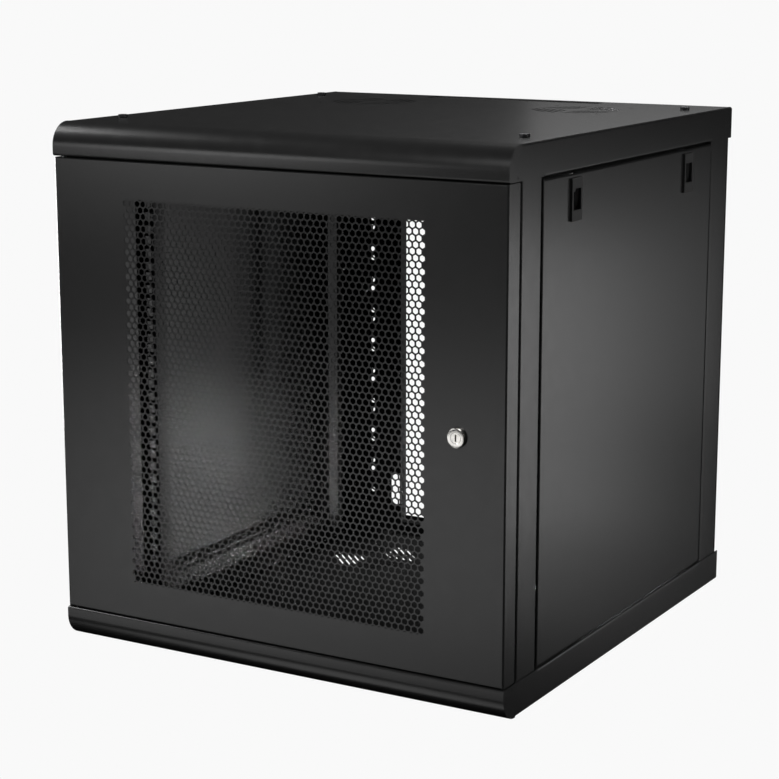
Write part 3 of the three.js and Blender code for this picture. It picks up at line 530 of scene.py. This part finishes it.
def shell_side(skin, lift, side, slot_half, slot_inset, slot_width):
    """One side of a shell: the bend, the flange whose front follows the nose, and the return
    along the side panel with its two slots."""
    outer = SHELL_HALF_WIDTH
    bend_start = NOSE_FRONT + NOSE_RADIUS + KERF * 2

    def along(y, x, z):
        return lift(side * x, y, z)

    top_bend = arc((outer - SHELL_BEND, SHELL_BEND), SHELL_BEND, 270, 360, BEND_STEPS)
    skin.bend(along, top_bend, bend_start, REAR)

    relief = SHELL_DEPTH - RELIEF_DEPTH
    fold = SHELL_DEPTH - RETURN_BEND
    outline = [
        (bend_start, SHELL_BEND),
        (bend_start - KERF, SHELL_BEND),
        (bend_start - KERF, 0),
        *arc((NOSE_FRONT + NOSE_RADIUS, NOSE_RADIUS), NOSE_RADIUS, 270, 180, NOSE_STEPS),
        *arc((NOSE_FRONT + SHELL_BEND, SHELL_DEPTH - SHELL_BEND), SHELL_BEND, 180, 90, BEND_STEPS),
        (PANEL["front"] - KERF, SHELL_DEPTH),
        (PANEL["front"] - KERF, relief),
        (PANEL["front"], relief),
        (PANEL["front"], fold),
        (PANEL["rear"], fold),
        (PANEL["rear"], relief),
        (PANEL["rear"] + KERF, relief),
        (PANEL["rear"] + KERF, SHELL_DEPTH),
        (REAR, SHELL_DEPTH),
        (REAR, SHELL_BEND),
    ]
    mark_place = (FLANGE_MARK["y"], FLANGE_MARK["z"])
    mark = stadium(mark_place, FLANGE_MARK["height"], FLANGE_MARK["width"], direction=90)
    skin.plate(lambda y, z: lift(side * outer, y, z), outline, [mark])

    return_bend = arc((outer - RETURN_BEND, fold), RETURN_BEND, 0, 90, BEND_STEPS)
    skin.bend(along, return_bend, PANEL["front"], PANEL["rear"])
    slots = []
    for y in latch_places().values():
        near = HALF_WIDTH - slot_inset - slot_width / 2
        far = min(near + slot_width, outer - RETURN_BEND - FIT)
        slots.append(rectangle((near, far), (y - slot_half, y + slot_half)))
    skin.plate(
        lambda x, y: lift(side * x, y, SHELL_DEPTH),
        rectangle((outer - SIDE_RETURN, outer - RETURN_BEND), (PANEL["front"], PANEL["rear"])),
        slots,
    )


def shell(name, lift, outward, seats, slot):
    """The folded sheet that the cover and the tray share. `lift` puts its depth in space."""
    skin = Skin()
    shell_plate(skin, lift, seats)
    shell_ends(skin, lift)
    for side in (-1, 1):
        shell_side(skin, lift, side, *slot)
    return smoothed(thickened(skin, name, outward))


def top_cover():
    """The shell turned upside down, with slots for the latches' tongues."""
    slot = (TONGUE["half"] + TONGUE["room"], TONGUE["inset"], TONGUE["slot"])
    made = shell(
        "cover_sheet",
        lambda x, y, z: (x, y, HEIGHT - z),
        outward=(0, 0, 1),
        seats=False,
        slot=slot,
    )
    dressed(made, "frame", PANEL_COAT, "top_cover")


def bottom_tray():
    """The shell as it lies, with pressed seats for its bolts and slots for the panels' hooks."""
    slot = (HOOK["half"] + TONGUE["room"], HOOK["slot_inset"], HOOK["slot"])
    made = shell(
        "tray_sheet",
        lambda x, y, z: (x, y, z),
        outward=(0, 0, -1),
        seats=True,
        slot=slot,
    )
    dressed(made, "frame", PANEL_COAT, "bottom_tray")


# ---------------------------------------------------------------- rear panel


def instrument_holes():
    """Pairs of small holes up both sides of the rear panel, one pair per rack unit."""
    first_unit = (HEIGHT - RACK_UNITS * RACK_UNIT) / 2
    holes = []
    for x in (-RACK_HOLE_X, RACK_HOLE_X):
        for unit in range(RACK_UNITS):
            for height in SMALL_HOLE["heights"]:
                z = first_unit + unit * RACK_UNIT + height
                holes.append(circle((x, z), SMALL_HOLE["radius"], sides=20))
    return holes


def corner_holes():
    """The wall-screw holes in the upper corners of the rear panel and the cable slots in all four."""
    holes = []
    for side in (-1, 1):
        holes.append(circle((side * WALL_HOLE["x"], WALL_HOLE["z"]), WALL_HOLE["radius"], sides=28))
        for z in (CABLE_SLOT["z"], HEIGHT - CABLE_SLOT["z"]):
            middle = (side * CABLE_SLOT["x"], z)
            slot = stadium(middle, CABLE_SLOT["height"], CABLE_SLOT["width"], direction=90, steps=12)
            holes.append(slot)
    return holes


def rear_panel():
    """A plate with one large opening, its four lips folded forward."""
    skin = Skin()
    back, bend, gap = REAR_PANEL["back"], REAR_PANEL["bend"], REAR_PANEL["gap"]
    half, bottom, top = REAR_OPENING["half"], REAR_OPENING["bottom"], REAR_OPENING["top"]
    opening = [
        (-half, bottom - bend),
        (half, bottom - bend),
        (half, bottom),
        (half + bend, bottom),
        (half + bend, top),
        (half, top),
        (half, top + bend),
        (-half, top + bend),
        (-half, top),
        (-half - bend, top),
        (-half - bend, bottom),
        (-half, bottom),
    ]
    edge = HALF_WIDTH - FIT
    skin.plate(
        on_y(back),
        rectangle((-edge, edge), (gap, HEIGHT - gap)),
        [opening, *instrument_holes(), *corner_holes()],
    )
    fold = [*arc((bend, back - bend), bend, 90, 180, REAR_LIP_STEPS), (0, back - REAR_PANEL["lip"])]
    for side in (-1, 1):
        skin.bend(lambda z, u, y: (side * (half + u), y, z), fold, bottom, top)
    skin.bend(lambda x, u, y: (x, y, bottom - u), fold, -half, half)
    skin.bend(lambda x, u, y: (x, y, top + u), fold, -half, half)
    made = smoothed(thickened(skin, "rear_sheet", (0, 1, 0), REAR_PANEL["sheet"]))
    dressed(made, "frame", PANEL_COAT, "rear_panel")


# ---------------------------------------------------------------- pans


def add_pan(skin, place, u, v, depth, bend, holes, end_holes=(), lip=0):
    """A pan: a face, two walls that run its whole height, and a wall across each end. `place`
    takes the face's coordinates and the depth behind it."""
    u_inner = (u[0] + bend, u[1] - bend)
    v_inner = (v[0] + bend, v[1] - bend)
    ears = (u_inner[0] + PAN_KERF, u_inner[1] - PAN_KERF)
    outline = [
        (u_inner[0], v[0]),
        (ears[0], v[0]),
        (ears[0], v_inner[0]),
        (ears[1], v_inner[0]),
        (ears[1], v[0]),
        (u_inner[1], v[0]),
        (u_inner[1], v[1]),
        (ears[1], v[1]),
        (ears[1], v_inner[1]),
        (ears[0], v_inner[1]),
        (ears[0], v[1]),
        (u_inner[0], v[1]),
    ]
    skin.plate(lambda a, b: place(a, b, 0), outline, holes)

    wall = arc((bend, bend), bend, 270, 180, BEND_STEPS)
    if lip:
        wall += [*arc((bend, depth - bend), bend, 180, 90, DOOR_LIP_STEPS), (lip, depth)]
    else:
        wall.append((0, depth))
    skin.bend(lambda b, a, w: place(u[0] + a, b, w), wall, *v)
    skin.bend(lambda b, a, w: place(u[1] - a, b, w), wall, *v)

    end = arc((bend, bend), bend, 270, 180, BEND_STEPS)
    for start, direction, cuts in ((v[0], 1, ()), (v[1], -1, end_holes)):
        skin.bend(lambda a, b, w: place(a, start + direction * b, w), end, *ears)
        skin.plate(lambda a, w: place(a, start, w), rectangle(ears, (bend, depth - bend)), cuts)


def side_panel(name, side):
    """A pan with openings for two latches, notches for their tongues and two bottom hooks."""

    def place(y, z, inset):
        return side * (HALF_WIDTH - inset), y, z

    openings, notches = [], []
    half = LATCH_OPENING["half"]
    heights = (LATCH_OPENING["bottom"], LATCH_OPENING["top"])
    room = TONGUE["half"] + TONGUE["room"]
    for y in latch_places().values():
        openings.append(rectangle((y - half, y + half), heights))
        notches.append(rectangle((y - room, y + room), (PANEL["bend"] + FIT, TONGUE["notch"])))
    skin = Skin()
    limits = (PANEL["front"], PANEL["rear"]), (PANEL["bottom"], PANEL["top"])
    add_pan(skin, place, *limits, PANEL["depth"], PANEL["bend"], openings, notches)
    made = thickened(skin, f"panel_sheet_{name}", (side, 0, 0))

    hooks = Skin()
    for y in latch_places().values():
        near = side * (HALF_WIDTH - HOOK["inset"])
        far = side * (HALF_WIDTH - HOOK["inset"] - SHEET)
        hooks.block(
            sorted((near, far)),
            (y - HOOK["half"], y + HOOK["half"]),
            (PANEL["bottom"] - HOOK["drop"], PANEL["bottom"] + SHEET / 2),
        )
    joined(made, hooks)
    dressed(smoothed(made), f"side_panel_{name}", PANEL_COAT, f"side_panel_{name}")


# ---------------------------------------------------------------- door


def hexagon(centre):
    """An upright hexagonal hole whose corners are cut short by the punch's wear."""
    radius = HEX["across_flats"] / math.sqrt(3)
    cut = math.degrees(HEX["corner"] / radius / 2)
    near = radius * math.cos(math.radians(30)) / math.cos(math.radians(30 - cut))
    points = []
    for corner in range(6):
        for turn in (-cut, cut):
            angle = math.radians(90 + 60 * corner + turn)
            points.append((centre[0] + near * math.cos(angle), centre[1] + near * math.sin(angle)))
    return points


def row_places(row):
    """The middles of one row of hexagons; every second row is shifted by half a pitch."""
    shift = HEX["pitch"] / 2 if row % 2 else 0
    z = HEX_FIRST["z"] - row * HEX["row"]
    return [(HEX_FIRST["x"] + column * HEX["pitch"] + shift, z) for column in range(HEX["columns"])]


def perforation():
    """The hexagonal holes in staggered rows, with the tips of one more row showing along the
    top and the bottom of the field."""
    holes = []
    for row in range(HEX["rows"]):
        holes += [hexagon(place) for place in row_places(row)]
    reach = HEX["across_flats"] / math.sqrt(3)
    half = HEX_TIP["half_width"]
    for row, direction in ((-1, 1), (HEX["rows"], -1)):
        for x, z in row_places(row):
            tip = z - direction * reach
            base = tip + direction * HEX_TIP["height"]
            holes.append([(x, tip), (x + half, base), (x - half, base)])
    return holes


def door():
    """A perforated pan with a lip, a hole for the lock and the bracket of the upper hinge pin."""
    skin = Skin()
    lock_hole = circle(LOCK, LOCK_BODY["thread"] + FIT, sides=40)
    add_pan(
        skin,
        lambda x, z, depth: (x, FRONT + depth, z),
        (-HALF_WIDTH, HALF_WIDTH),
        (DOOR["bottom"], DOOR["top"]),
        DOOR["depth"],
        DOOR["bend"],
        [*perforation(), lock_hole],
        lip=DOOR["lip"],
    )
    made = thickened(skin, "door_sheet", (0, -1, 0))
    bracket = Skin()
    bracket.block(
        (-HALF_WIDTH + SHEET / 2, HINGE[0] + BRACKET["half"]),
        (FRONT + SHEET / 2, BRACKET["back"]),
        (BRACKET["bottom"], BRACKET["bottom"] + BRACKET["sheet"]),
    )
    joined(made, bracket)
    dressed(smoothed(made), "door", PANEL_COAT, "door")


# ---------------------------------------------------------------- cam lock


def lock_ring(radius, depth):
    """A ring about the lock's axis, at a depth behind the door's face."""
    return [(x, FRONT + depth, z) for x, z in circle(LOCK, radius, LOCK_SIDES)]


def lock_housing():
    """A round face with a chamfered rim and a threaded body behind it."""
    face, rim, proud = LOCK_BODY["face"], LOCK_BODY["rim"], LOCK_BODY["proud"]
    bore, thread, end = LOCK_BODY["bore"], LOCK_BODY["thread"], LOCK_BODY["end"]
    profile = [
        (bore, -proud + LOCK_EDGE),
        (bore + LOCK_EDGE, -proud),
        (face - rim, -proud),
        (face - rim / 3, -proud + rim / 3),
        (face, -proud + rim),
        (face, -FIT),
        (thread, -FIT),
    ]
    crest = -FIT
    while crest < end - THREAD_PITCH:
        profile.append((thread - THREAD_DEPTH, crest + THREAD_PITCH / 2))
        profile.append((thread, crest + THREAD_PITCH))
        crest += THREAD_PITCH
    profile += [(thread - THREAD_DEPTH, end), (bore, end), profile[0]]
    skin = Skin()
    skin.rings([lock_ring(radius, depth) for radius, depth in profile])
    dressed(smoothed(skin.object("lock_body")), "door", NICKEL, "lock_housing")


def lock_cylinder():
    """The barrel, its face pierced by the key slot, with a square end for the cam."""
    radius = LOCK_PLUG["radius"]
    front = -LOCK_BODY["proud"] + LOCK_PLUG["recess"]
    slot = rectangle(
        (LOCK[0] - KEY_SLOT["half_width"], LOCK[0] + KEY_SLOT["half_width"]),
        (LOCK[1] - KEY_SLOT["half_height"], LOCK[1] + KEY_SLOT["half_height"]),
    )
    skin = Skin()
    skin.plate(on_y(FRONT + front), circle(LOCK, radius - LOCK_EDGE, LOCK_SIDES), [slot])
    skin.rings([
        lock_ring(radius - LOCK_EDGE, front),
        lock_ring(radius, front + LOCK_EDGE),
        lock_ring(radius, LOCK_PLUG["end"]),
    ])
    skin.plate(on_y(FRONT + LOCK_PLUG["end"]), circle(LOCK, radius, LOCK_SIDES))
    slot_end = FRONT + front + KEY_SLOT["depth"]
    skin.rings([[(x, y, z) for x, z in slot] for y in (FRONT + front, slot_end)])
    skin.plate(on_y(slot_end), slot)
    made = skin.object("lock_plug")
    tail = Skin()
    half = LOCK_PLUG["square"]
    tail.block(
        (LOCK[0] - half, LOCK[0] + half),
        (FRONT + LOCK_PLUG["end"] - TAIL_ROOT, FRONT + LOCK_PLUG["tail"]),
        (LOCK[1] - half, LOCK[1] + half),
    )
    joined(made, tail)
    dressed(smoothed(made), "lock_barrel", NICKEL, "lock_cylinder")


# ---------------------------------------------------------------- hinge spring


def coil_height(turn):
    """The height of the wire's middle: it rises by one wire a turn at the closed ends, and
    evenly between them."""
    closed, wire = SPRING_CLOSED_TURNS, SPRING["wire"]
    low = SPRING["bottom"] + wire
    high = SPRING["top"] - wire
    open_rise = high - low - wire * 4 * closed
    share = min(max((turn - closed) / (SPRING["turns"] - closed * 2), 0), 1)
    closed_turns = min(turn, closed) + max(turn - SPRING["turns"] + closed, 0)
    return low + wire * 2 * closed_turns + open_rise * share


def hinge_spring():
    """A coil around the upper hinge pin, made at one length although it shortens as the pin retracts.
    """
    section = circle((0, 0), SPRING["wire"], WIRE_SIDES)
    rings = []
    for step in range(int(SPRING["turns"] * COIL_STEPS) + 1):
        turn = step / COIL_STEPS
        angle = math.tau * turn
        out = Vector((math.cos(angle), math.sin(angle), 0))
        centre = Vector((*HINGE, coil_height(turn))) + out * SPRING["radius"]
        rings.append([centre + out * across + Vector((0, 0, up)) for across, up in section])
    skin = Skin()
    skin.rings(rings)
    open_ends = [edge for edge in skin.mesh.edges if edge.is_boundary]
    bmesh.ops.holes_fill(skin.mesh, edges=open_ends, sides=0)
    made = smoothed(skin.object("spring_coil"))
    dressed(made, "door", ZINC, "hinge_spring")
    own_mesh(made)


# ---------------------------------------------------------------- CAD nodes that stay

WELD_REACH = 1e-6            # metres
FLAT_ANGLE = math.radians(1)
BEVEL_ANGLE = math.radians(40)
CRISP_ANGLE = math.radians(50)

# For each kind of node: its material, and the width of its broken edges in millimetres
CAD_FINISHES = {
    "post": (FRAME_COAT, 0.25),
    "beam": (FRAME_COAT, 0.25),
    "cable_cover": (FRAME_COAT, 0.2),
    "rack_rail": (RAIL_COAT, 0.25),
    "latch": (LATCH_PLASTIC, 0.45),
    "cover_bolt": (FASTENER_BLACK, 0.5),
    "tray_bolt": (FASTENER_BLACK, 0.5),
    "rail_bolt": (ZINC, 0.5),
    "hinge_pin": (ZINC, 0.4),
    "lock_nut": (ZINC, 0.5),
    "lock_cam": (ZINC, 0.3),
    "cam_screw": (ZINC, 0.5),
}


def finish_cad_node(node, material, edge):
    """Gives a CAD node its material, broken edges and clean shading, leaving its mesh as packed."""
    data = node.data
    if "custom_normal" in data.attributes:
        data.attributes.remove(data.attributes["custom_normal"])
    data.materials.clear()
    data.materials.append(material)
    data.shade_smooth()
    weld = node.modifiers.new("weld", "WELD")
    weld.merge_threshold = WELD_REACH
    planar = node.modifiers.new("plates", "DECIMATE")
    planar.decimate_type = "DISSOLVE"
    planar.angle_limit = FLAT_ANGLE
    bevel = node.modifiers.new("broken edges", "BEVEL")
    bevel.width = edge * MM
    bevel.segments = 2
    bevel.limit_method = "ANGLE"
    bevel.angle_limit = BEVEL_ANGLE
    split = node.modifiers.new("crisp edges", "EDGE_SPLIT")
    split.split_angle = CRISP_ANGLE
    split.use_edge_sharp = False
    node.modifiers.new("flat plates", "WEIGHTED_NORMAL")


def finish_cad_nodes():
    """Finishes every CAD node that no new piece stands for."""
    for name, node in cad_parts.items():
        if node.hide_render:
            continue
        kind = next(start for start in CAD_FINISHES if name.startswith(start))
        finish_cad_node(node, *CAD_FINISHES[kind])


# ---------------------------------------------------------------- stage

# From here on, places and sizes are metres.
BACKDROP = (0.947, 0.947, 0.947)
AMBIENT = (0, 0, 0)
FLOOR_REACH = (-40, 40)
FLOOR_DROP = 0.0005          # keeps the floor clear of the tray's underside


def floor():
    """A plain pale floor. It is bright to the camera, and lamps and reflections ignore it."""
    data = bpy.data.meshes.new("floor")
    corners = [(x, y, -FLOOR_DROP) for x, y in rectangle(FLOOR_REACH, FLOOR_REACH)]
    data.from_pydata(corners, [], [(0, 1, 2, 3)])
    made = bpy.data.objects.new("floor", data)
    bpy.context.scene.collection.objects.link(made)
    material, nodes, links = node_material("floor_pale")
    nodes.remove(nodes["Principled BSDF"])
    emission = nodes.new("ShaderNodeEmission")
    emission.inputs["Color"].default_value = (*BACKDROP, 1)
    links.new(emission.outputs["Emission"], nodes["Material Output"].inputs["Surface"])
    data.materials.append(material)
    for kind in ("diffuse", "glossy", "transmission", "shadow"):
        setattr(made, f"visible_{kind}", False)


def softbox(name, place, target, size, watts):
    """A rectangular lamp that faces a target."""
    lamp = bpy.data.lights.new(name, "AREA")
    lamp.shape = "RECTANGLE"
    lamp.size, lamp.size_y = size
    lamp.energy = watts
    made = bpy.data.objects.new(name, lamp)
    made.location = place
    made.rotation_euler = (Vector(target) - Vector(place)).to_track_quat("-Z", "Y").to_euler()
    bpy.context.scene.collection.objects.link(made)
    made.visible_camera = False
    return made


def lights():
    """A dark studio, since black paint shows little but the softboxes it mirrors."""
    world = bpy.data.worlds.new("studio")
    world.use_nodes = True
    bpy.context.scene.world = world
    nodes, links = world.node_tree.nodes, world.node_tree.links
    path = nodes.new("ShaderNodeLightPath")
    mixed = nodes.new("ShaderNodeMix")
    mixed.data_type = "RGBA"
    mixed.inputs["A"].default_value = (*AMBIENT, 1)
    mixed.inputs["B"].default_value = (*BACKDROP, 1)
    links.new(path.outputs["Is Camera Ray"], mixed.inputs["Factor"])
    links.new(mixed.outputs["Result"], nodes["Background"].inputs["Color"])
    cabinet = (0, 0, 0.3)
    softbox("side_glow", (1.35, 1.8, -0.1), cabinet, (0.35, 0.65), 1.05)
    softbox("side_edge", (1.7, 1.8, 0.05), cabinet, (0.3, 0.6), 0.9)
    softbox("side_fade", (2, 4, -0.25), cabinet, (0.5, 0.8), 0.5)
    softbox("side_low", (2.6, 4, -1.25), cabinet, (0.4, 0.4), 0.9)
    softbox("door_low", (-1.2, -2.5, -0.5), cabinet, (1.6, 0.7), 5)
    softbox("door_high", (-1.6, -2.5, 0.7), cabinet, (0.7, 0.7), 4.6)
    softbox("front", (0, -2.2, 1.8), cabinet, (0.8, 0.8), 30)
    softbox("right", (2.2, 0, 1.2), cabinet, (0.8, 0.8), 28)
    softbox("left", (-2, -0.3, 1.8), cabinet, (0.9, 0.9), 40)
    softbox("overhead", (0, 1.3, 2.5), cabinet, (0.8, 0.8), 70)
    softbox("top_edge", (-0.7, 2.6, 1.3), (0, 0, 0.6), (0.8, 0.8), 0.6)
    softbox("below", (-1, -1.5, -1.6), cabinet, (1, 1), 3)
    softbox("far_left", (-2.8, 0.9, 0), cabinet, (0.7, 0.7), 60)
    # The last lamp stands behind the cabinet and shines through its sheets, without shadows,
    # onto the inside of the left panel that shows through the door's mesh.
    inner = softbox("inner_glow", (0.11, 0.5, -0.03), (-0.3, -0.1, 0.2), (0.22, 0.3), 0.45)
    inner.data.use_shadow = False
    inner.data.cycles.use_multiple_importance_sampling = False


CAMERA_PLACE = (1.2736, -2.2375, 0.8303)
CAMERA_RIGHT = (0.8647, 0.5024, 0)
CAMERA_BACK = (0.4915, -0.8459, 0.2067)
CAMERA_LENS = 96.04          # millimetres, as is the sensor
CAMERA_SENSOR = 36


def camera():
    """The camera, from the way its picture's right side and its own back point."""
    data = bpy.data.cameras.new("camera")
    data.lens = CAMERA_LENS
    data.sensor_width = CAMERA_SENSOR
    made = bpy.data.objects.new("camera", data)
    right = Vector(CAMERA_RIGHT)
    back = Vector(CAMERA_BACK)
    up = back.cross(right)
    rotation = Matrix((right.normalized(), up.normalized(), back.normalized())).transposed()
    made.matrix_world = Matrix.Translation(CAMERA_PLACE) @ rotation.to_4x4()
    bpy.context.scene.collection.objects.link(made)
    bpy.context.scene.camera = made


# ---------------------------------------------------------------- assembly

top_cover()
bottom_tray()
rear_panel()
side_panel("left", -1)
side_panel("right", 1)
door()
lock_housing()
lock_cylinder()
hinge_spring()
finish_cad_nodes()

floor()
lights()
camera()
bpy.context.scene.view_settings.view_transform = "Standard"
